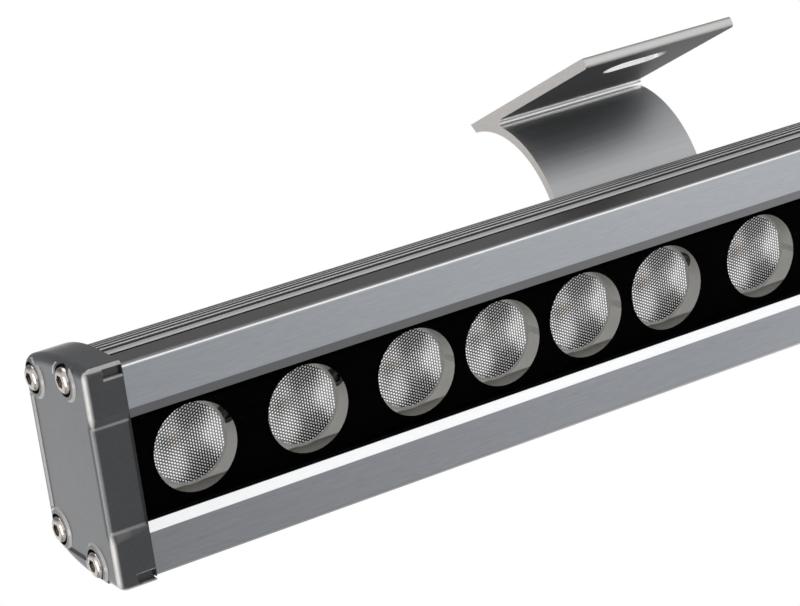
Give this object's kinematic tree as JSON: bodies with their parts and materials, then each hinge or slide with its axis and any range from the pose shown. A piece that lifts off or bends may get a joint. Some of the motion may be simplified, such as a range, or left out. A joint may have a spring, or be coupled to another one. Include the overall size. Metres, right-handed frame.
{
  "type": "wall floodlight",
  "caption": "Slim linear wall floodlight: beaded round lenses behind glass in a ribbed aluminium bar, hung on slotted brackets that let it slide and tilt.",
  "frame": {"origin": "midway between the two bracket slots, on the plates' mounting face", "axes": "+X along the bar to the cable gland, +Y from the glass to the back of the lamp, +Z out of the plates' mounting face; the lamp hangs below and aims 25 degrees under the -Y direction"},
  "size_m": [0.5164, 0.0729, 0.0854],
  "materials": {
    "housing_aluminium": "drawn and anodised",
    "cap_paint": "satin grey paint",
    "gasket_rubber": "matt",
    "silicone": "matt",
    "stainless": "bright",
    "clear_glass": "clear",
    "black_mask": "deep black",
    "lens_clear": "clear, beaded front",
    "board_face": "white solder mask",
    "led_phosphor": "phosphor under a clear dome",
    "chip_black": "moulded",
    "terminal_white": "moulded",
    "gland_plastic": "moulded",
    "bracket_aluminium": "drawn and anodised"
  },
  "bodies": {
    "brackets": {"bracket_left": "bracket_aluminium", "pivot_bolt_left": "stainless", "pivot_nut_left": "stainless", "pivot_washers_left": "stainless", "bracket_right": "bracket_aluminium", "pivot_bolt_right": "stainless", "pivot_nut_right": "stainless", "pivot_washers_right": "stainless"},
    "pivot_blocks": {"pivot_block_left": "bracket_aluminium", "block_screws_left": "stainless", "pivot_block_right": "bracket_aluminium", "block_screws_right": "stainless"},
    "lamp": {"housing": "housing_aluminium", "front_glass": "clear_glass", "glass_seal_upper": "silicone", "glass_seal_lower": "silicone", "lens_mask": "black_mask", "led_board": "board_face", "led_packages": "led_phosphor", "board_screws": "stainless", "current_regulators": "chip_black", "terminal_block": "terminal_white", "gland_washer": "gasket_rubber", "gland_body": "gland_plastic", "gland_seal": "gasket_rubber", "gland_nut": "gland_plastic", "lens_01": "lens_clear", "lens_02": "lens_clear", "lens_03": "lens_clear", "lens_04": "lens_clear", "lens_05": "lens_clear", "lens_06": "lens_clear", "lens_07": "lens_clear", "lens_08": "lens_clear", "lens_09": "lens_clear", "lens_10": "lens_clear", "lens_11": "lens_clear", "lens_12": "lens_clear", "lens_13": "lens_clear", "lens_14": "lens_clear", "lens_15": "lens_clear", "lens_16": "lens_clear", "lens_17": "lens_clear", "lens_18": "lens_clear", "end_cap_left": "cap_paint", "cap_gasket_left": "gasket_rubber", "cap_screws_left": "stainless", "end_cap_right": "cap_paint", "cap_gasket_right": "gasket_rubber", "cap_screws_right": "stainless"}
  },
  "joints": [
    {"name": "lamp_tilt", "type": "hinge", "parent": "brackets", "child": "pivot_blocks", "pos_m": [0, 0.02285, -0.045], "axis": [1, 0, 0], "range_deg": [-40, 110]},
    {"name": "lamp_slide", "type": "slide", "parent": "pivot_blocks", "child": "lamp", "axis": [1, 0, 0], "range_m": [-0.155, 0.155]}
  ]
}
